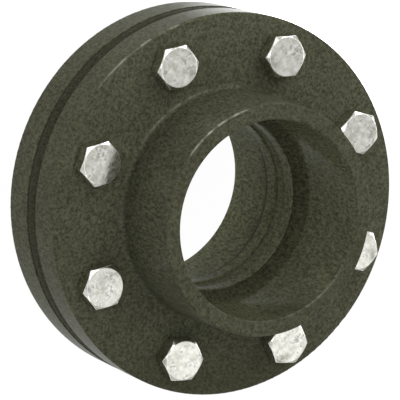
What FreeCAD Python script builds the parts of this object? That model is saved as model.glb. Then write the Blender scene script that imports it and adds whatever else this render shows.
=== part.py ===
import FreeCAD, Part

import math
import os

# Flange coupling for plain-ended pipe.
#
# Two cast flanges, each with a hub and a pipe socket, are drawn together by a ring of hex bolts.
# A thick gasket ring keeps them apart, and a rubber seal sits at the bottom of each socket.
#
# Frame: millimetres, +Z along the pipe axis towards the long front hub. The origin is the centre of
# the rear hub's end face, on which the coupling stands.

V = FreeCAD.Vector

# Pipe and sockets; the stop stands in from the socket wall at the bottom of each socket
PIPE_OD = 114.3
SOCKET_CLEARANCE = 1.6
SOCKET_CHAMFER = 0.6
STOP_HEIGHT = 5.75
STOP_WIDTH = 9.0
STOP_EDGE = 0.5

# Rubber seals at the bottom of the sockets, with a crowned lip that leans in from the socket wall
SEAL_GROOVE_WIDTH = 9.5
SEAL_GROOVE_DEPTH = 5.25
SEAL_LIP_CROWN = 0.7
SEAL_TOE_THICKNESS = 2.0
SEAL_TOE_RELIEF = 0.8

# Flange castings, from the socket outwards: hub wall at its root, then the room that a spanner needs
# between the hub's root and a bolt's centre, then the metal from there to the rim
HUB_WALL = 10.75
SPANNER_ROOM = 24.5
RIM_MARGIN = 20.5
FLANGE_THICKNESS = 22.5
RIM_EDGE = 1.0
JOINT_EDGE = 0.3
HUB_DRAFT_DEG = 1.8
HUB_FILLET = 3.0
NOSE_EDGE = 0.8
FRONT_HUB_LENGTH = 49.5
REAR_HUB_LENGTH = 36.0

# Gasket that covers the whole joint and bulges between the castings, a little back from their edges
GASKET_THICKNESS = 11.5
GASKET_BORE_SETBACK = 1.5
GASKET_RIM_SETBACK = 0.8
GASKET_BULGE = 0.7

# Bolts, washers and nuts
BOLT_COUNT = 8
BOLT_START_DEG = 22.5
BOLT_DIA = 16.0
BOLT_PROTRUSION = 5.5
BOLT_HOLE_CLEARANCE = 2.0
BOLT_TIP_CHAMFER = 1.5
HEX_ACROSS_FLATS = 24.0
HEX_CHAMFER_DEG = 30.0
HEX_TOP_SHARE = 0.96
HEAD_HEIGHT = 10.0
SEAT_FACE_DIA = 22.5
SEAT_FACE_HEIGHT = 0.6
NUT_HEIGHT = 13.0
NUT_THREAD_CLEARANCE = 0.1
NUT_COUNTERSINK = 0.9
WASHER_OD = 30.0
WASHER_CLEARANCE = 1.0
WASHER_THICKNESS = 3.0
SPOT_FACE_DEPTH = 3.0
SPOT_FACE_CLEARANCE = 2.0

# How far each head and nut is turned about its own axis, in the order of the bolts
HEAD_TURNS_DEG = (9.5, 7.5, 57.5, 57.0, 14.0, 22.0, 25.0, 22.5)
NUT_TURNS_DEG = (31.0, 12.0, 47.0, 4.0, 52.0, 36.0, 23.0, 9.0)

# Radii, lengths and levels that follow from the sizes above
socket_radius = PIPE_OD / 2 + SOCKET_CLEARANCE
stop_radius = socket_radius - STOP_HEIGHT
groove_radius = socket_radius + SEAL_GROOVE_DEPTH
hub_base_radius = socket_radius + HUB_WALL
bolt_circle_radius = hub_base_radius + SPANNER_ROOM
rim_radius = bolt_circle_radius + RIM_MARGIN
hub_draft = math.radians(HUB_DRAFT_DEG)
bolt_hole_dia = BOLT_DIA + BOLT_HOLE_CLEARANCE
spot_face_dia = WASHER_OD + SPOT_FACE_CLEARANCE
gasket_bore_radius = stop_radius + GASKET_BORE_SETBACK
gasket_radius = rim_radius - GASKET_RIM_SETBACK
clamped_length = 2 * FLANGE_THICKNESS + GASKET_THICKNESS + WASHER_THICKNESS - SPOT_FACE_DEPTH
bolt_length = clamped_length + NUT_HEIGHT + BOLT_PROTRUSION

rear_back_z = REAR_HUB_LENGTH
rear_joint_z = rear_back_z + FLANGE_THICKNESS
front_joint_z = rear_joint_z + GASKET_THICKNESS
front_face_z = front_joint_z + FLANGE_THICKNESS
washer_seat_z = rear_back_z + SPOT_FACE_DEPTH
nut_seat_z = washer_seat_z - WASHER_THICKNESS


class Section:
    """A closed outline in the radius and height plane, built point by point and turned about Z."""

    def __init__(self, radius, height):
        self.start = V(radius, 0, height)
        self.at = self.start
        self.edges = []

    def line(self, radius, height):
        """Straight edge to a new point."""
        end = V(radius, 0, height)
        self.edges.append(Part.LineSegment(self.at, end).toShape())
        self.at = end
        return self

    def corner(self, radius, height, towards_radius, towards_height, fillet):
        """Straight edge to a corner that is rounded towards the next point."""
        corner = V(radius, 0, height)
        before = (self.at - corner).normalize()
        after = (V(towards_radius, 0, towards_height) - corner).normalize()
        half_angle = before.getAngle(after) / 2
        setback = fillet / math.tan(half_angle)
        middle_distance = fillet / math.sin(half_angle) - fillet
        bisector = (before + after).normalize()
        arc_start = corner + before * setback
        arc_end = corner + after * setback
        arc_middle = corner + bisector * middle_distance
        self.line(arc_start.x, arc_start.z)
        self.edges.append(Part.Arc(arc_start, arc_middle, arc_end).toShape())
        self.at = arc_end
        return self

    def crowned(self, radius, height, crown):
        """Arc to a new point, standing out by a crown from the straight line, towards its right."""
        end = V(radius, 0, height)
        run = (end - self.at).normalize()
        middle = (self.at + end) / 2 + V(run.z, 0, -run.x) * crown
        self.edges.append(Part.Arc(self.at, middle, end).toShape())
        self.at = end
        return self

    def revolve(self):
        """Closes the outline and turns it a full circle about the pipe axis."""
        if self.at.distanceToPoint(self.start) > 0:
            self.line(self.start.x, self.start.z)
        face = Part.Face(Part.Wire(self.edges))
        return face.revolve(V(0, 0, 0), V(0, 0, 1), 360)


def ring(inner_radius, outer_radius, bottom, height):
    """A plain flat ring about the pipe axis."""
    outer = Part.makeCylinder(outer_radius, height, V(0, 0, bottom))
    return outer.cut(Part.makeCylinder(inner_radius, height, V(0, 0, bottom)))


def turned_over(shape, level):
    """The same shape facing the other way, with its zero level moved to the given one."""
    flipped = shape.copy()
    flipped.rotate(V(0, 0, 0), V(1, 0, 0), 180)
    flipped.translate(V(0, 0, level))
    return flipped


def bolt_place(index):
    """Centre of a bolt hole in plan."""
    angle = math.radians(BOLT_START_DEG + index * 360.0 / BOLT_COUNT)
    return V(bolt_circle_radius * math.cos(angle), bolt_circle_radius * math.sin(angle), 0)


def flange_casting(hub_length):
    """One casting, with its joint face at zero and its hub pointing up."""
    face = FLANGE_THICKNESS
    nose = face + hub_length
    nose_radius = hub_base_radius - hub_length * math.tan(hub_draft)
    groove_bottom = STOP_WIDTH
    groove_top = groove_bottom + SEAL_GROOVE_WIDTH
    section = Section(stop_radius + STOP_EDGE, 0)
    section.corner(rim_radius, 0, rim_radius, face, JOINT_EDGE)
    section.corner(rim_radius, face, hub_base_radius, face, RIM_EDGE)
    section.corner(hub_base_radius, face, nose_radius, nose, HUB_FILLET)
    section.corner(nose_radius, nose, socket_radius, nose, NOSE_EDGE)
    section.line(socket_radius + SOCKET_CHAMFER, nose)
    section.line(socket_radius, nose - SOCKET_CHAMFER)
    section.line(socket_radius, groove_top)
    section.line(groove_radius, groove_top)
    section.line(groove_radius, groove_bottom)
    section.line(stop_radius + STOP_EDGE, groove_bottom)
    section.line(stop_radius, groove_bottom - STOP_EDGE)
    section.line(stop_radius, STOP_EDGE)
    return section.revolve()


def joint_gasket():
    """Full-face gasket ring, with its lower face at zero and both its edges bulged."""
    section = Section(gasket_bore_radius, 0)
    section.line(gasket_radius, 0)
    section.crowned(gasket_radius, GASKET_THICKNESS, GASKET_BULGE)
    section.line(gasket_bore_radius, GASKET_THICKNESS)
    section.crowned(gasket_bore_radius, 0, GASKET_BULGE)
    return section.revolve()


def holed(shape, diameter, bottom, depth):
    """The shape with a round hole at every bolt's place, over a depth that starts at a level."""
    for index in range(BOLT_COUNT):
        place = bolt_place(index) + V(0, 0, bottom)
        shape = shape.cut(Part.makeCylinder(diameter / 2, depth, place))
    return shape


def pipe_seal():
    """Rubber ring that fills the groove, with a toe over the stop, on the same zero as its casting."""
    bottom = STOP_WIDTH
    top = bottom + SEAL_GROOVE_WIDTH
    toe_radius = stop_radius + SEAL_TOE_RELIEF
    section = Section(toe_radius, bottom)
    section.line(groove_radius, bottom)
    section.line(groove_radius, top)
    section.line(socket_radius, top)
    section.crowned(toe_radius, bottom + SEAL_TOE_THICKNESS, SEAL_LIP_CROWN)
    return section.revolve()


def hex_prism(bottom, height, chamfered_ends):
    """A hexagon bar piece about Z, with its corners chamfered at the bottom, the top or both."""
    corner_radius = HEX_ACROSS_FLATS / math.sqrt(3)
    points = []
    for side in range(7):
        angle = math.radians(60 * side)
        points.append(V(corner_radius * math.cos(angle), corner_radius * math.sin(angle), bottom))
    prism = Part.Face(Part.makePolygon(points)).extrude(V(0, 0, height))
    end_radius = HEX_ACROSS_FLATS * HEX_TOP_SHARE / 2
    drop = (corner_radius - end_radius) * math.tan(math.radians(HEX_CHAMFER_DEG))
    top = bottom + height
    envelope = Section(0, bottom)
    if "bottom" in chamfered_ends:
        envelope.line(end_radius, bottom)
        envelope.line(corner_radius, bottom + drop)
    else:
        envelope.line(corner_radius, bottom)
    if "top" in chamfered_ends:
        envelope.line(corner_radius, top - drop)
        envelope.line(end_radius, top)
    else:
        envelope.line(corner_radius, top)
    envelope.line(0, top)
    return prism.common(envelope.revolve())


def hex_bolt():
    """Bolt with the seat of its head at zero and its shank pointing down."""
    shank_radius = BOLT_DIA / 2
    shank = Section(0, SEAT_FACE_HEIGHT)
    shank.line(SEAT_FACE_DIA / 2, SEAT_FACE_HEIGHT)
    shank.line(SEAT_FACE_DIA / 2, 0)
    shank.line(shank_radius, 0)
    shank.line(shank_radius, BOLT_TIP_CHAMFER - bolt_length)
    shank.line(shank_radius - BOLT_TIP_CHAMFER, -bolt_length)
    shank.line(0, -bolt_length)
    head = hex_prism(SEAT_FACE_HEIGHT, HEAD_HEIGHT - SEAT_FACE_HEIGHT, ("top",))
    return head.fuse(shank.revolve()).removeSplitter()


def hex_nut():
    """Nut with its bearing face at zero, pointing down, its bore countersunk at both ends."""
    body = hex_prism(-NUT_HEIGHT, NUT_HEIGHT, ("bottom", "top"))
    bore_radius = BOLT_DIA / 2 + NUT_THREAD_CLEARANCE
    mouth_radius = bore_radius + NUT_COUNTERSINK
    bore = Section(0, 0)
    bore.line(mouth_radius, 0)
    bore.line(bore_radius, -NUT_COUNTERSINK)
    bore.line(bore_radius, NUT_COUNTERSINK - NUT_HEIGHT)
    bore.line(mouth_radius, -NUT_HEIGHT)
    bore.line(0, -NUT_HEIGHT)
    return body.cut(bore.revolve())


def washer():
    """Flat washer with its upper face at zero."""
    return ring(BOLT_DIA / 2 + WASHER_CLEARANCE / 2, WASHER_OD / 2, -WASHER_THICKNESS, WASHER_THICKNESS)


def placed(shape, index, level, turn_deg):
    """A copy of a fastener on a bolt hole, at a level and turned about its own axis."""
    copy = shape.copy()
    copy.rotate(V(0, 0, 0), V(0, 0, 1), turn_deg)
    place = bolt_place(index)
    copy.translate(V(place.x, place.y, level))
    return copy


def build():
    """All pieces of the coupling by name."""
    front = flange_casting(FRONT_HUB_LENGTH)
    front.translate(V(0, 0, front_joint_z))
    rear = turned_over(flange_casting(REAR_HUB_LENGTH), rear_joint_z)
    rear = holed(rear, bolt_hole_dia, rear_back_z, FLANGE_THICKNESS)
    gasket = joint_gasket()
    gasket.translate(V(0, 0, rear_joint_z))
    seal = pipe_seal()
    front_seal = seal.copy()
    front_seal.translate(V(0, 0, front_joint_z))
    pieces = {
        "front_flange": holed(front, bolt_hole_dia, front_joint_z, FLANGE_THICKNESS),
        "rear_flange": holed(rear, spot_face_dia, rear_back_z, SPOT_FACE_DEPTH),
        "joint_gasket": holed(gasket, bolt_hole_dia, rear_joint_z, GASKET_THICKNESS),
        "front_seal": front_seal,
        "rear_seal": turned_over(seal, rear_joint_z),
    }
    bolt = hex_bolt()
    nut = hex_nut()
    flat_washer = washer()
    for index in range(BOLT_COUNT):
        number = index + 1
        head_turn = HEAD_TURNS_DEG[index % len(HEAD_TURNS_DEG)]
        nut_turn = NUT_TURNS_DEG[index % len(NUT_TURNS_DEG)]
        pieces[f"bolt_{number}"] = placed(bolt, index, front_face_z, head_turn)
        pieces[f"washer_{number}"] = placed(flat_washer, index, washer_seat_z, 0)
        pieces[f"nut_{number}"] = placed(nut, index, nut_seat_z, nut_turn)
    return pieces


os.makedirs("parts", exist_ok=True)
for name, shape in build().items():
    shape.exportStep(f"parts/{name}.step")
    box = shape.BoundBox
    volume_cm3 = shape.Volume / 1000
    print(f"{name}: {len(shape.Solids)} solid, valid {shape.isValid()}, {volume_cm3:.1f} cm3, "
          f"z {box.ZMin:.1f} to {box.ZMax:.1f}")
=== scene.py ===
import math

import bpy
from mathutils import Matrix, Vector


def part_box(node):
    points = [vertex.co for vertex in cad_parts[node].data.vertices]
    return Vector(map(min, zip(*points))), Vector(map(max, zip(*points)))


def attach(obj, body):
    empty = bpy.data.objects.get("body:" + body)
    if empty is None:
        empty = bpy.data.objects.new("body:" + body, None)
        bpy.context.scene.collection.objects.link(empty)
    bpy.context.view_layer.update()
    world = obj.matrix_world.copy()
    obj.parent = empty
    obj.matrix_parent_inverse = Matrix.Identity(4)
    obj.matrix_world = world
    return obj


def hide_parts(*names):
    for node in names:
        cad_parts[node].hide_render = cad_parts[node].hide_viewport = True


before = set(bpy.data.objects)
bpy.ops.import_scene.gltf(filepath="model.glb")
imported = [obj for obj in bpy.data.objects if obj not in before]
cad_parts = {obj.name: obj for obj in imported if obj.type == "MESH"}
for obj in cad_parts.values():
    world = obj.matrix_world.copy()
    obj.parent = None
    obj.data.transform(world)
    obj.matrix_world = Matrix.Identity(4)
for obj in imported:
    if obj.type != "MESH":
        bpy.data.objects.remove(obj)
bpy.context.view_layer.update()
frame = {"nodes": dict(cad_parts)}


def srgb(red, green, blue):
    """A shader colour from display values between 0 and 255."""
    def linear(value):
        v = value / 255
        return v / 12.92 if v <= 0.04045 else ((v + 0.055) / 1.055) ** 2.4
    return (linear(red), linear(green), linear(blue), 1.0)


MM = 0.001

# The photograph's view in degrees and metres: where the camera stands as seen from the coupling,
# how far it is rolled about its line of sight, its lens, the point on the front face that it looks
# at, and the distances between which it sees
VIEW_AZIMUTH = -68.66
VIEW_ELEVATION = 58.59
VIEW_ROLL = 109.68
VIEW_DISTANCE = 1.5498
VIEW_LENS_MM = 238.1
VIEW_SENSOR_MM = 36.0
VIEW_AIM = (0.0086, -0.0160, 0.0910)
VIEW_CLIP_START = 0.05
VIEW_CLIP_END = 20.0

# Sizes that are read from the frame
RIM_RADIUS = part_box("front_flange")[1].x
FRONT_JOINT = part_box("front_flange")[0].z
NOSE_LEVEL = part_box("front_flange")[1].z
REAR_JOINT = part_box("rear_flange")[1].z
WASHER_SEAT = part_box("washer_1")[1].z
BOLT_COUNT = sum(1 for name in frame["nodes"] if name.startswith("bolt_"))
HEAD_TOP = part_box("bolt_1")[1].z
BOLT_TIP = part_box("bolt_1")[0].z
NUT_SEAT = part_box("nut_1")[1].z
NUT_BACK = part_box("nut_1")[0].z
WASHER_RADIUS = (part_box("washer_1")[1].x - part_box("washer_1")[0].x) / 2

# Sizes of the castings' section that their boxes don't give
FRONT_FACE = FRONT_JOINT + 22.5 * MM
MOUTH_RADIUS = 58.75 * MM
LIP_RADIUS = 53.0 * MM
NOSE_RADIUS = 68.0 * MM
HUB_FOOT_RADIUS = 71.2 * MM
HUB_FOOT_LEVEL = FRONT_FACE + MM

# Sizes of the fasteners, an M16 bolt with its nut and washer
ACROSS_FLATS = 24.0 * MM
CORNER_WEAR = 0.15 * MM
CHAMFER_DEG = 30.0
TOP_SHARE = 0.96
SEAT_RADIUS = 11.25 * MM
SEAT_HEIGHT = 0.6 * MM
SHANK_RADIUS = 8.0 * MM
TIP_RADIUS = SHANK_RADIUS - 1.5 * MM
BORE_RADIUS = 8.1 * MM
COUNTERSINK = 0.9 * MM
WASHER_BORE_RADIUS = 8.5 * MM
ARRIS = 0.35 * MM

# The thread: its pitch, depth and ends, and the lines drawn for each pitch as shares of the pitch
# and of the depth, which are both ends of the crest and both ends of the root
THREAD_PITCH = 2.0 * MM
THREAD_DEPTH = 1.08 * MM
THREAD_START = BOLT_TIP + 0.1 * MM
THREAD_END = BOLT_TIP + 38.0 * MM
THREAD_PROFILE = ((0.0, 0.0), (0.125, 0.0), (0.4375, 1.0), (0.6875, 1.0))
THREAD_LINES = len(THREAD_PROFILE) * int((THREAD_END - THREAD_START) / THREAD_PITCH - 1)

# How finely the meshes are divided: steps from the middle of a hexagon's side to its corner, sides
# of a washer, and the turn in degrees from which an edge is shaded sharp
HALF_SIDE_STEPS = 4
WASHER_SIDES = 72
SHARP_DEG = 12.0

# The rows of faces on a chamfered end that are its bevels, counted from either end of its rings,
# which are painted with highlights
BEVEL_ROWS = (0, 2)

# Fineness of the patterns in lumps per metre: the grain of castings and rubber, with how much
# taller than wide its lumps are, the castings' waves, stains and breaks in their painted
# highlights, the zinc plate's mottling, blotches, scuffs, scratches, dents, grain and breaks in its
# painted highlights, and the rubber's bloom
GRAIN_SCALE = 640.0
GRAIN_STRETCH = 2.0
WAVE_SCALE = 170.0
STAIN_SCALE = 30.0
HIGHLIGHT_BREAK_SCALE = 210.0
MOTTLE_SCALE = 260.0
BLOTCH_SCALE = 95.0
SCUFF_SCALE = 170.0
SCRATCH_SCALE = 430.0
DENT_SCALE = 340.0
PLATE_GRAIN_SCALE = 1500.0
ZINC_HIGHLIGHT_SCALE = 420.0
BLOOM_SCALE = 60.0

# The castings' coating: the colours of its pits and of the sand grains under it in the bore,
# painted lighter there as painted light where the bore is shaded, on the face and on the rim, the
# colour it is darkened towards, and the colour of the painted highlights on its arrises
LIT_BORE_PITS, LIT_BORE_SAND = srgb(62, 64, 44), srgb(117, 119, 93)
FACE_PITS, FACE_SAND = srgb(50, 51, 38), srgb(88, 89, 73)
RIM_PITS, RIM_SAND = srgb(50, 51, 36), srgb(88, 89, 71)
DARK_TONE = srgb(46, 46, 33)
ARRIS_HIGHLIGHT = srgb(168, 168, 152)

# Gloss of the coating: its roughness outside, in the two bores, and on the lip that stops the
# pipe, and how much and in what colour it shines
OUTSIDE_ROUGHNESS = 0.3
FRONT_BORE_ROUGHNESS = 0.12
REAR_BORE_ROUGHNESS = 0.3
LIP_ROUGHNESS = 0.32
COATING_SHINE = 0.02
COATING_TINT = (1.0, 1.0, 0.7, 1.0)

# Relief of the castings: depths of the waves and of the grain, how much of both shows in the bore,
# and how much of each outside
WAVE_DEPTH = 0.06 * MM
GRAIN_DEPTH = 0.16 * MM
BORE_RELIEF = 0.12
OUTSIDE_WAVES = 0.7
OUTSIDE_GRAIN = 0.5

# How dark the castings are made: in random stain patches, on the end of the hub, and, on one side,
# towards the mouth of the front socket and near the rim
PATCH_STAIN = 0.25
NOSE_DARKENING = 0.2
SOCKET_DARKENING = 0.5
BRIM_DARKENING = 0.42
DARK_SIDE_AZIMUTH = 45.0
DARK_SIDE_REACH = 42.0

# Arrises with a painted highlight where the key light catches them: their radius and level, how
# strongly the highlight is painted, and the azimuth and reach in degrees of the lit stretch
HIGHLIT_ARRISES = (
    (NOSE_RADIUS, NOSE_LEVEL, 0.6, -104.0, 22.0),
    (RIM_RADIUS, FRONT_FACE, 0.4, -106.0, 20.0),
    (HUB_FOOT_RADIUS, HUB_FOOT_LEVEL, 0.25, -105.0, 24.0),
    (MOUTH_RADIUS, NOSE_LEVEL, 0.2, 78.0, 26.0),
)
HIGHLIGHT_REACH = 1.3 * MM

# Zinc plate of the fasteners: its colours, the colours of its blotches and scratches and of the
# painted highlights on its arrises, the depths of its dents and grain, and its roughness from end
# to end of a pattern
ZINC_DULL, ZINC_BRIGHT = srgb(204, 204, 193), srgb(246, 246, 238)
ZINC_BLOTCH = srgb(150, 150, 136)
SCRATCH_DARK, SCRATCH_BRIGHT = srgb(150, 150, 134), srgb(255, 255, 252)
HIGHLIGHT_DULL, HIGHLIGHT_BRIGHT = srgb(214, 214, 206), srgb(253, 253, 250)
DENT_DEPTH = 0.03 * MM
PLATE_GRAIN_DEPTH = 0.02 * MM
PLATE_ROUGHNESS = (0.08, 0.16)
BLOTCH_ROUGHNESS = (0.0, 0.08)
HIGHLIGHT_ROUGHNESS = (0.45, 0.3)

# Rubber: colours of its pits and of its skin at the rims, darker there as painted shade in the
# joint's gap, in the sockets, and at the joint's bore, paler there as painted light where the bore
# shades it, the radii between which it pales inwards, the depth of its grain, its roughness and its
# shine
SHADED_RIM_RUBBER = (srgb(31, 31, 19), srgb(60, 60, 45))
SEAL_RUBBER = (srgb(39, 39, 26), srgb(80, 80, 62))
LIT_GASKET_RUBBER = (srgb(62, 62, 45), srgb(112, 112, 90))
PALE_RADIUS, DARK_RADIUS = 70.0 * MM, 100.0 * MM
RUBBER_GRAIN_DEPTH = 0.1 * MM
RUBBER_ROUGHNESS = (0.6, 0.8)
RUBBER_SHINE = 0.06

# The floor: how far it reaches in metres, its colour and its own light, and the ring segment on
# the coupling's far side that shines brighter, with its radius, half width, azimuth and reach
FLOOR_REACH = 4.0
FLOOR_COLOUR = (0.06, 0.06, 0.06, 1.0)
FLOOR_ROUGHNESS = 0.9
FLOOR_LIGHT = 0.97
GLOW_LIGHT = 4.6
GLOW_RADIUS = 0.135
GLOW_WIDTH = 0.04
GLOW_AZIMUTH = 171.0
GLOW_REACH = 47.0
WHITE = (1.0, 1.0, 1.0, 1.0)

# Each light's azimuth and elevation in degrees, distance and size in metres, and power in watts
LIGHTS = {
    "key": (-172.0, 26.0, 1.6, 0.8, 12.0),
    "side": (-120.0, 56.0, 1.6, 0.8, 4.5),
    "front": (-70.0, 60.0, 1.6, 0.8, 4.5),
    "fill": (26.0, 50.0, 1.6, 0.8, 2.4),
    "back": (135.0, 22.0, 1.6, 0.8, 3.5),
    "glint": (102.5, 54.5, 1.8, 0.42, 0.24),
}

# The surround's light at the horizon and overhead, and how high overhead starts, as a sine
HORIZON_LIGHT = 0.45
OVERHEAD_LIGHT = 0.7
OVERHEAD_CLIMB = 0.8


def direction(azimuth, elevation):
    """The direction from the coupling towards an azimuth and elevation in degrees."""
    a = math.radians(azimuth)
    e = math.radians(elevation)
    return Vector((math.cos(a) * math.cos(e), math.sin(a) * math.cos(e), math.sin(e)))


def sight_axes(azimuth, elevation, roll):
    """Right, up and backward directions of a camera that looks at the coupling."""
    back = direction(azimuth, elevation)
    level_right = direction(azimuth + 90.0, 0.0)
    level_up = back.cross(level_right)
    r = math.radians(roll)
    right = level_right * math.cos(r) + level_up * math.sin(r)
    return right, back.cross(right), back


def make_camera():
    """The camera at the photograph's viewing angle."""
    data = bpy.data.cameras.new("camera")
    data.lens = VIEW_LENS_MM
    data.sensor_width = VIEW_SENSOR_MM
    data.clip_start = VIEW_CLIP_START
    data.clip_end = VIEW_CLIP_END
    camera = bpy.data.objects.new("camera", data)
    right, up, back = sight_axes(VIEW_AZIMUTH, VIEW_ELEVATION, VIEW_ROLL)
    turn = Matrix((right, up, back)).transposed()
    place = Vector(VIEW_AIM) + back * VIEW_DISTANCE
    camera.matrix_world = Matrix.Translation(place) @ turn.to_4x4()
    bpy.context.scene.collection.objects.link(camera)
    bpy.context.scene.camera = camera


class Shader:
    """A node material that is written as a chain of calls."""

    def __init__(self, name):
        self.material = bpy.data.materials.new(name)
        self.material.use_nodes = True
        self.nodes = self.material.node_tree.nodes
        self.links = self.material.node_tree.links
        self.surface = self.nodes["Principled BSDF"]
        self.place = self.nodes.new("ShaderNodeTexCoord").outputs["Object"]

    def feed(self, socket, value):
        """Links a node's output to a socket, or sets the socket to a plain value."""
        if isinstance(value, bpy.types.NodeSocket):
            self.links.new(value, socket)
        else:
            socket.default_value = value

    def noise(self, scale, detail=4.0, roughness=0.5, place=None):
        """Noise whose lumps are about 1 / scale metres across."""
        node = self.nodes.new("ShaderNodeTexNoise")
        self.feed(node.inputs["Vector"], place or self.place)
        node.inputs["Scale"].default_value = scale
        node.inputs["Detail"].default_value = detail
        node.inputs["Roughness"].default_value = roughness
        return node.outputs["Fac"]

    def drawn(self, stretch):
        """The place with heights squeezed, so that lumps come out taller than they are wide."""
        node = self.nodes.new("ShaderNodeVectorMath")
        node.operation = "MULTIPLY"
        self.feed(node.inputs[0], self.place)
        node.inputs[1].default_value = (1.0, 1.0, 1.0 / stretch)
        return node.outputs["Vector"]

    def grain(self):
        """The fine grain of cast iron and moulded rubber."""
        return self.noise(GRAIN_SCALE, detail=2.5, roughness=0.7, place=self.drawn(GRAIN_STRETCH))

    def grained(self, grain, pits, skin):
        """One colour in the pits of a grain and another on its lumps."""
        return self.mix(self.spread(grain, 0.33, 0.68), pits, skin)

    def spread(self, value, low, high, to_low=0.0, to_high=1.0):
        """A value's span from low to high, stretched over another span and held at its ends."""
        node = self.nodes.new("ShaderNodeMapRange")
        self.feed(node.inputs["Value"], value)
        node.inputs["From Min"].default_value = low
        node.inputs["From Max"].default_value = high
        self.feed(node.inputs["To Min"], to_low)
        self.feed(node.inputs["To Max"], to_high)
        return node.outputs["Result"]

    def math(self, operation, first, second=0.0):
        """One step of arithmetic on values."""
        node = self.nodes.new("ShaderNodeMath")
        node.operation = operation
        self.feed(node.inputs[0], first)
        self.feed(node.inputs[1], second)
        return node.outputs["Value"]

    def height(self):
        """Height above the floor."""
        node = self.nodes.new("ShaderNodeSeparateXYZ")
        self.feed(node.inputs[0], self.place)
        return node.outputs["Z"]

    def radius(self):
        """Distance from the pipe's axis."""
        node = self.nodes.new("ShaderNodeSeparateXYZ")
        self.feed(node.inputs[0], self.place)
        x_square = self.math("MULTIPLY", node.outputs["X"], node.outputs["X"])
        y_square = self.math("MULTIPLY", node.outputs["Y"], node.outputs["Y"])
        return self.math("SQRT", self.math("ADD", x_square, y_square))

    def side(self, azimuth, reach):
        """One on the side of the coupling at an azimuth, down to nothing at a reach in degrees."""
        node = self.nodes.new("ShaderNodeVectorMath")
        node.operation = "DOT_PRODUCT"
        a = math.radians(azimuth)
        self.feed(node.inputs[0], self.place)
        node.inputs[1].default_value = (math.cos(a), math.sin(a), 0.0)
        turn = self.math("DIVIDE", node.outputs["Value"], self.radius())
        return self.spread(turn, math.cos(math.radians(reach)), math.cos(math.radians(reach / 2)))

    def near(self, value, target, reach):
        """One where a value is at its target, down to nothing at a reach from it."""
        away = self.math("ABSOLUTE", self.math("SUBTRACT", value, target))
        return self.spread(away, 0.0, reach, 1.0, 0.0)

    def mix(self, share, first, second):
        """Two colours mixed by a share."""
        node = self.nodes.new("ShaderNodeMix")
        node.data_type = "RGBA"
        # The colour sockets share their names with those for numbers, so they go by position
        self.feed(node.inputs[0], share)
        self.feed(node.inputs[6], first)
        self.feed(node.inputs[7], second)
        return node.outputs[2]

    def bump(self, height, depth, strength=1.0, after=None):
        """A normal from a height between 0 and 1 that stands for a depth in metres."""
        node = self.nodes.new("ShaderNodeBump")
        self.feed(node.inputs["Strength"], strength)
        node.inputs["Distance"].default_value = depth
        self.feed(node.inputs["Height"], height)
        if after is not None:
            self.links.new(after, node.inputs["Normal"])
        return node.outputs["Normal"]

    def set(self, **values):
        """Sets the shader's own sockets by name, with underscores for spaces."""
        for name, value in values.items():
            self.feed(self.surface.inputs[name.replace("_", " ")], value)


def casting_material(name, bore_roughness):
    """Thin dark olive coating over sand-cast iron, smoother in the bore and painted lighter there
    as painted light, darkened in places, with painted highlights on the arrises.
    """
    s = Shader(name)
    radius = s.radius()
    height = s.height()
    grain = s.grain()
    outside = s.spread(radius, MOUTH_RADIUS, MOUTH_RADIUS + 0.2 * MM)

    def by_place(in_bore, beyond):
        return s.spread(outside, 0.0, 1.0, in_bore, beyond)

    rim = s.spread(radius, RIM_RADIUS - 1.5 * MM, RIM_RADIUS - 0.5 * MM)
    # In the bore the coating's colours are painted lighter, as painted light where the bore is
    # shaded.
    pits = s.mix(outside, LIT_BORE_PITS, s.mix(rim, FACE_PITS, RIM_PITS))
    sand = s.mix(outside, LIT_BORE_SAND, s.mix(rim, FACE_SAND, RIM_SAND))
    darkening = casting_darkening(s, radius, height, by_place(1.0, 0.0))
    darkened = s.mix(darkening, s.grained(grain, pits, sand), DARK_TONE)
    # Painted highlights: pale colour on the arrises where the key light catches them.
    colour = s.mix(casting_highlights(s, radius, height), darkened, ARRIS_HIGHLIGHT)
    bore = s.spread(radius, LIP_RADIUS + MM, LIP_RADIUS + 3 * MM, LIP_ROUGHNESS, bore_roughness)
    rough = by_place(bore, OUTSIDE_ROUGHNESS)
    wavy = s.noise(WAVE_SCALE, detail=2.0)
    waves = s.bump(wavy, WAVE_DEPTH, by_place(BORE_RELIEF, OUTSIDE_WAVES))
    relief = s.bump(grain, GRAIN_DEPTH, by_place(BORE_RELIEF, OUTSIDE_GRAIN), waves)
    s.set(Base_Color=colour, Roughness=rough, Normal=relief)
    s.surface.inputs["Specular IOR Level"].default_value = COATING_SHINE
    s.surface.inputs["Specular Tint"].default_value = COATING_TINT
    return s.material


def casting_darkening(s, radius, height, in_bore):
    """How dark a casting is made from place to place: stained in random patches, darker on the end
    of the hub and on one side.
    """
    patchy = s.noise(STAIN_SCALE, detail=4.0, roughness=0.6)
    patches = s.spread(patchy, 0.45, 0.75, 0.0, PATCH_STAIN)
    nose = s.spread(height, NOSE_LEVEL - MM, NOSE_LEVEL - 0.2 * MM, 0.0, NOSE_DARKENING)
    climb = s.spread(height, REAR_JOINT, NOSE_LEVEL - 10 * MM, 0.0, SOCKET_DARKENING)
    socket = s.math("MULTIPLY", climb, in_bore)
    # Darker near the rim and towards the socket's mouth on one side only.
    brim = s.spread(radius, RIM_RADIUS - 26 * MM, RIM_RADIUS - 10 * MM, 0.0, BRIM_DARKENING)
    dark_side = s.math("MULTIPLY", s.side(DARK_SIDE_AZIMUTH, DARK_SIDE_REACH), s.math("ADD", socket, brim))
    return s.math("ADD", patches, s.math("ADD", nose, dark_side))


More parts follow.
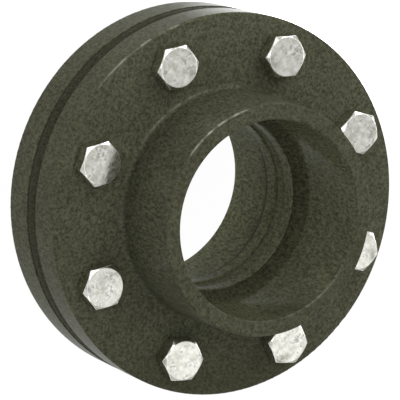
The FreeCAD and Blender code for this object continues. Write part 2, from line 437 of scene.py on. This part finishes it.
def casting_highlights(s, radius, height):
    """How strongly highlights are painted on the arrises where the key light catches them, broken
    up in patches.
    """
    highlight = 0.0
    for edge_radius, edge_level, share, azimuth, reach in HIGHLIT_ARRISES:
        at_radius = s.near(radius, edge_radius, HIGHLIGHT_REACH)
        at_level = s.near(height, edge_level, HIGHLIGHT_REACH)
        edge = s.spread(s.math("MULTIPLY", at_radius, at_level), 0.1, 0.5, 0.0, share)
        highlight = s.math("MAXIMUM", highlight, s.math("MULTIPLY", edge, s.side(azimuth, reach)))
    patches = s.spread(s.noise(HIGHLIGHT_BREAK_SCALE, detail=3.0), 0.4, 0.6, 0.2, 1.0)
    return s.math("MULTIPLY", highlight, patches)


def zinc_material():
    """Bright zinc plate, blotched, dented, and scratched where it is scuffed."""
    s = Shader("zinc_plate")
    mottle = s.noise(MOTTLE_SCALE, detail=4.0, roughness=0.62)
    blotch = s.noise(BLOTCH_SCALE, detail=3.0, roughness=0.55)
    plain = s.mix(s.spread(mottle, 0.36, 0.66), ZINC_DULL, ZINC_BRIGHT)
    blotched = s.mix(s.spread(blotch, 0.56, 0.72, 0.0, 0.7), plain, ZINC_BLOTCH)
    scratches = s.spread(s.noise(SCRATCH_SCALE, detail=1.0), 0.4, 0.6)
    scuffs = s.spread(s.noise(SCUFF_SCALE, detail=2.0), 0.5, 0.62, 0.0, 0.6)
    colour = s.mix(scuffs, blotched, s.mix(scratches, SCRATCH_DARK, SCRATCH_BRIGHT))
    plate_rough = s.spread(mottle, 0.3, 0.7, *PLATE_ROUGHNESS)
    rough = s.math("ADD", plate_rough, s.spread(blotch, 0.5, 0.75, *BLOTCH_ROUGHNESS))
    dents = s.bump(s.noise(DENT_SCALE, detail=2.0), DENT_DEPTH)
    relief = s.bump(s.noise(PLATE_GRAIN_SCALE, detail=2.0), PLATE_GRAIN_DEPTH, after=dents)
    s.set(Base_Color=colour, Roughness=rough, Metallic=1.0, Normal=relief)
    return s.material


def highlight_zinc_material():
    """The plate painted brighter on its arrises, as painted highlights."""
    s = Shader("zinc_highlight")
    breakup = s.spread(s.noise(ZINC_HIGHLIGHT_SCALE, detail=3.0), 0.4, 0.6)
    # Brighter plate on the bevels, as painted highlights on the arrises.
    colour = s.mix(breakup, HIGHLIGHT_DULL, HIGHLIGHT_BRIGHT)
    s.set(Base_Color=colour, Roughness=s.spread(breakup, 0.0, 1.0, *HIGHLIGHT_ROUGHNESS), Metallic=1.0)
    return s.material


def rubber_material(name, inner_colours):
    """Moulded dark rubber with a random bloom, darker at the rim as painted shade and paler inwards
    as painted light.
    """
    s = Shader(name)
    bloom = s.noise(BLOOM_SCALE, detail=5.0, roughness=0.65)
    grain = s.grain()
    # Paler inwards as painted light where the bore shades the rubber, darker at the rim as painted
    # shade in the joint's gap.
    inside = s.spread(s.radius(), PALE_RADIUS, DARK_RADIUS, 1.0, 0.0)
    pits, skin = (s.mix(inside, *pair) for pair in zip(SHADED_RIM_RUBBER, inner_colours))
    colour = s.mix(s.spread(bloom, 0.5, 0.75, 0.0, 0.25), s.grained(grain, pits, skin), skin)
    rough = s.spread(bloom, 0.3, 0.7, *RUBBER_ROUGHNESS)
    s.set(Base_Color=colour, Roughness=rough, Normal=s.bump(grain, RUBBER_GRAIN_DEPTH))
    s.surface.inputs["Specular IOR Level"].default_value = RUBBER_SHINE
    return s.material


def dress(objects, *materials):
    """Gives objects their materials in place of their old ones."""
    for item in objects:
        item.data.materials.clear()
        for material in materials:
            item.data.materials.append(material)


def paint_highlight_rows(piece, first_face, count, rows):
    """Gives rows of faces, numbered from a first face, the piece's second material, the painted
    highlight.
    """
    for row in rows:
        for i in range(count):
            piece.data.polygons[first_face + row * count + i].material_index = 1


def make_piece(name, points, faces, slot, *nodes):
    """A mesh piece that stands for CAD nodes, shaded smooth between its sharp edges."""
    mesh = bpy.data.meshes.new(name)
    mesh.from_pydata(points, [], faces)
    mesh.validate()
    mesh.shade_smooth()
    mesh.set_sharp_from_angle(angle=math.radians(SHARP_DEG))
    piece = bpy.data.objects.new(name, mesh)
    bpy.context.scene.collection.objects.link(piece)
    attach(piece, "root")
    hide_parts(*nodes)
    return piece


def ring_faces(rings, count, closed):
    """Faces between rings of equally many points, from the last back to the first where closed."""
    faces = []
    for row in range(rings if closed else rings - 1):
        low = row * count
        high = (row + 1) % rings * count
        for i in range(count):
            j = (i + 1) % count
            faces.append((low + i, low + j, high + j, high + i))
    return faces


def polar(centre, radius, angle, level):
    """The point at a radius and angle about an upright axis, at a level."""
    x = centre.x + radius * math.cos(angle)
    y = centre.y + radius * math.sin(angle)
    return Vector((x, y, level))


def node_centre(node):
    """The middle of a CAD node's box."""
    low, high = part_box(node)
    return (low + high) / 2


def corner_angle(node):
    """The direction of a hexagon's corner, from the CAD point that stands farthest out."""
    centre = node_centre(node).xy
    arms = [vertex.co.xy - centre for vertex in frame["nodes"][node].data.vertices]
    arm = max(arms, key=lambda a: a.length)
    return math.atan2(arm.y, arm.x)


def hexagon(turn):
    """Angles and radii of a hexagon's outline whose corners are worn flat by a hair."""
    half = ACROSS_FLATS / 2
    corner = half / math.cos(math.pi / 6) - CORNER_WEAR
    edge = math.acos(half / corner)
    outline = []
    for side in range(6):
        middle = turn + math.pi / 6 + side * math.pi / 3
        for step in range(-HALF_SIDE_STEPS, HALF_SIDE_STEPS + 1):
            offset = edge * step / HALF_SIDE_STEPS
            outline.append((middle + offset, half / math.cos(offset)))
    return outline


def chamfered(outline, inset, end, away):
    """Radii and levels of the rings over a chamfered hexagon end, from its sides to its flat top.

    away is 1 where the end faces up and -1 where it faces down."""
    slope = math.tan(math.radians(CHAMFER_DEG))
    top_radius = TOP_SHARE * ACROSS_FLATS / 2
    side = [(r, end - away * ((r - top_radius) * slope + inset)) for _, r in outline]
    brim = [(r - inset, end - away * (r - inset - top_radius) * slope) for _, r in outline]
    shoulder = level_ring(outline, top_radius + inset / 2, end - away * inset / 2 * slope)
    flat = level_ring(outline, top_radius - inset / 2, end)
    return [side, brim, shoulder, flat]


def level_ring(outline, radius, level):
    """Radii and levels of a round ring with as many points as an outline."""
    return [(radius, level)] * len(outline)


def ring_points(centre, outline, rings):
    """The points of rings about an upright axis, at the angles of an outline."""
    points = []
    for ring in rings:
        for (angle, _), (radius, level) in zip(outline, ring):
            points.append(polar(centre, radius, angle, level))
    return points


def make_bolt(number, plate, highlit_zinc):
    """Hexagon bolt: rolled thread, plain shank, seat face and chamfered head."""
    node = f"bolt_{number}"
    centre = node_centre(node)
    outline = hexagon(corner_angle(node))
    count = len(outline)
    under = FRONT_FACE + SEAT_HEIGHT
    rings = [
        level_ring(outline, SHANK_RADIUS, THREAD_END),
        level_ring(outline, SHANK_RADIUS, FRONT_FACE),
        level_ring(outline, SEAT_RADIUS - ARRIS, FRONT_FACE),
        level_ring(outline, SEAT_RADIUS, FRONT_FACE + ARRIS),
        level_ring(outline, SEAT_RADIUS, under),
        [(r - ARRIS, under) for _, r in outline],
        [(r, under + ARRIS) for _, r in outline],
    ]
    chamfer_row = len(rings)
    rings += chamfered(outline, ARRIS, HEAD_TOP, 1)
    points = ring_points(centre, outline, [level_ring(outline, TIP_RADIUS, BOLT_TIP)])
    points += thread_points(centre, outline)
    faces = thread_faces(count)
    first_point = len(points)
    first_face = len(faces)
    points += ring_points(centre, outline, rings)
    for face in ring_faces(len(rings), count, False):
        faces.append(tuple(first_point + i for i in face))
    faces.append(tuple(range(len(points) - count, len(points))))
    faces.append(tuple(reversed(range(count))))
    bolt = make_piece(f"hex_bolt_{number}", points, faces, "fastener", node)
    dress([bolt], plate, highlit_zinc)
    # The bevels of the head get the painted highlight.
    paint_highlight_rows(bolt, first_face, count, [chamfer_row + row for row in BEVEL_ROWS])


def thread_points(centre, outline):
    """Points of the thread's lines, which climb a pitch a turn and run out into the shank."""
    points = []
    for line in range(THREAD_LINES + 1):
        share, depth = THREAD_PROFILE[line % len(THREAD_PROFILE)]
        for i, (angle, _) in enumerate(outline):
            turns = line // len(THREAD_PROFILE) + share + i / len(outline)
            level = THREAD_START + THREAD_PITCH * turns
            fade = min(1.0, (THREAD_END - level) / THREAD_PITCH)
            cone = TIP_RADIUS + level - BOLT_TIP
            radius = min(SHANK_RADIUS - THREAD_DEPTH * depth * fade, cone)
            points.append(polar(centre, radius, angle, level))
    return points


def thread_faces(count):
    """Faces of a helix from the tip's ring below it to the shank's ring above it.

    Point 0 of each line stands over the end of the line that is one pitch lower, so the faces at
    the seam step up by a pitch, and one face fills the step at each end."""
    def at(line, i):
        return count * (line + 1) + i
    faces = []
    last = count - 1
    top = THREAD_LINES
    pitch_lines = len(THREAD_PROFILE)
    for i in range(last):
        faces.append((i, i + 1, at(0, i + 1), at(0, i)))
        faces.append((at(top, i), at(top, i + 1), at(top + 1, i + 1), at(top + 1, i)))
        for line in range(top):
            faces.append((at(line, i), at(line, i + 1), at(line + 1, i + 1), at(line + 1, i)))
    for line in range(top - pitch_lines):
        over = line + pitch_lines
        faces.append((at(line, last), at(over, 0), at(over + 1, 0), at(line + 1, last)))
    first_step = [at(line, 0) for line in range(pitch_lines + 1)]
    faces.append((last, 0, *first_step, at(0, last)))
    last_step = [at(line, last) for line in range(top, top - pitch_lines - 1, -1)]
    faces.append((*last_step, at(top, 0), at(top + 1, 0), at(top + 1, last)))
    return faces


def make_nut(number, plate, highlit_zinc):
    """Hexagon nut, chamfered at both ends and countersunk at both ends of its bore."""
    node = f"nut_{number}"
    outline = hexagon(corner_angle(node))
    mouth = BORE_RADIUS + COUNTERSINK
    back = chamfered(outline, ARRIS, NUT_BACK, -1)
    rings = list(reversed(back)) + chamfered(outline, ARRIS, NUT_SEAT, 1)
    rings += [
        level_ring(outline, mouth, NUT_SEAT),
        level_ring(outline, BORE_RADIUS, NUT_SEAT - COUNTERSINK),
        level_ring(outline, BORE_RADIUS, NUT_BACK + COUNTERSINK),
        level_ring(outline, mouth, NUT_BACK),
    ]
    points = ring_points(node_centre(node), outline, rings)
    faces = ring_faces(len(rings), len(outline), True)
    nut = make_piece(f"hex_nut_{number}", points, faces, "fastener", node)
    dress([nut], plate, highlit_zinc)
    # The bevels at both ends get the painted highlight.
    paint_highlight_rows(nut, 0, len(outline), BEVEL_ROWS)
    paint_highlight_rows(nut, 0, len(outline), [len(back) + row for row in BEVEL_ROWS])


def turned(centre, section, count):
    """Points and faces of a closed section of radii and levels, turned about an upright axis."""
    angles = [math.tau * i / count for i in range(count)]
    points = [polar(centre, r, angle, z) for r, z in section for angle in angles]
    return points, ring_faces(len(section), count, True)


def make_washer(number, material):
    """Punched flat washer with its edges broken."""
    node = f"washer_{number}"
    low, high = NUT_SEAT, WASHER_SEAT
    outer, inner = WASHER_RADIUS, WASHER_BORE_RADIUS
    section = [
        (outer - ARRIS, low), (outer, low + ARRIS), (outer, high - ARRIS), (outer - ARRIS, high),
        (inner + ARRIS, high), (inner, high - ARRIS), (inner, low + ARRIS), (inner + ARRIS, low),
    ]
    points, faces = turned(node_centre(node), section, WASHER_SIDES)
    dress([make_piece(f"flat_washer_{number}", points, faces, "fastener", node)], material)


def make_floor():
    """A plain pale floor that reads as a white sweep, lit strongest on the coupling's far side."""
    reach = FLOOR_REACH
    corners = [(-reach, -reach, 0), (reach, -reach, 0), (reach, reach, 0), (-reach, reach, 0)]
    mesh = bpy.data.meshes.new("floor")
    mesh.from_pydata(corners, [], [(0, 1, 2, 3)])
    floor = bpy.data.objects.new("floor", mesh)
    bpy.context.scene.collection.objects.link(floor)
    s = Shader("pale_floor")
    ring = s.near(s.radius(), GLOW_RADIUS, GLOW_WIDTH)
    glow = s.math("MULTIPLY", ring, s.side(GLOW_AZIMUTH, GLOW_REACH))
    s.set(Base_Color=FLOOR_COLOUR, Roughness=FLOOR_ROUGHNESS, Emission_Color=WHITE)
    s.set(Emission_Strength=s.spread(glow, 0.0, 1.0, FLOOR_LIGHT, GLOW_LIGHT))
    s.surface.inputs["Specular IOR Level"].default_value = 0.0
    mesh.materials.append(s.material)


def area_light(name, azimuth, elevation, distance, size, power):
    """A soft square light that faces the coupling from a direction in degrees."""
    data = bpy.data.lights.new(name, "AREA")
    data.shape = "SQUARE"
    data.size = size
    data.energy = power
    light = bpy.data.objects.new(name, data)
    towards = direction(azimuth, elevation)
    light.location = Vector(VIEW_AIM) + towards * distance
    light.rotation_mode = "QUATERNION"
    light.rotation_quaternion = (-towards).to_track_quat("-Z", "Y")
    bpy.context.scene.collection.objects.link(light)


def make_world():
    """An even white surround, dimmer near the horizon than overhead."""
    world = bpy.data.worlds.new("studio")
    world.use_nodes = True
    nodes = world.node_tree.nodes
    links = world.node_tree.links
    split = nodes.new("ShaderNodeSeparateXYZ")
    links.new(nodes.new("ShaderNodeTexCoord").outputs["Generated"], split.inputs[0])
    climb = nodes.new("ShaderNodeMapRange")
    climb.inputs["From Min"].default_value = 0.0
    climb.inputs["From Max"].default_value = OVERHEAD_CLIMB
    climb.inputs["To Min"].default_value = HORIZON_LIGHT
    climb.inputs["To Max"].default_value = OVERHEAD_LIGHT
    links.new(split.outputs["Z"], climb.inputs["Value"])
    background = nodes["Background"]
    background.inputs["Color"].default_value = WHITE
    links.new(climb.outputs["Result"], background.inputs["Strength"])
    bpy.context.scene.world = world


def main():
    nodes = frame["nodes"]
    bpy.context.scene.view_settings.view_transform = "Standard"
    make_camera()
    make_floor()
    make_world()
    for name, settings in LIGHTS.items():
        area_light(name, *settings)
    zinc = zinc_material()
    highlit_zinc = highlight_zinc_material()
    seals = [nodes["front_seal"], nodes["rear_seal"]]
    dress([nodes["front_flange"]], casting_material("front_coating", FRONT_BORE_ROUGHNESS))
    dress([nodes["rear_flange"]], casting_material("rear_coating", REAR_BORE_ROUGHNESS))
    dress(seals, rubber_material("seal_rubber", SEAL_RUBBER))
    dress([nodes["joint_gasket"]], rubber_material("gasket_rubber", LIT_GASKET_RUBBER))
    for number in range(1, BOLT_COUNT + 1):
        make_bolt(number, zinc, highlit_zinc)
        make_washer(number, zinc)
        make_nut(number, zinc, highlit_zinc)


main()
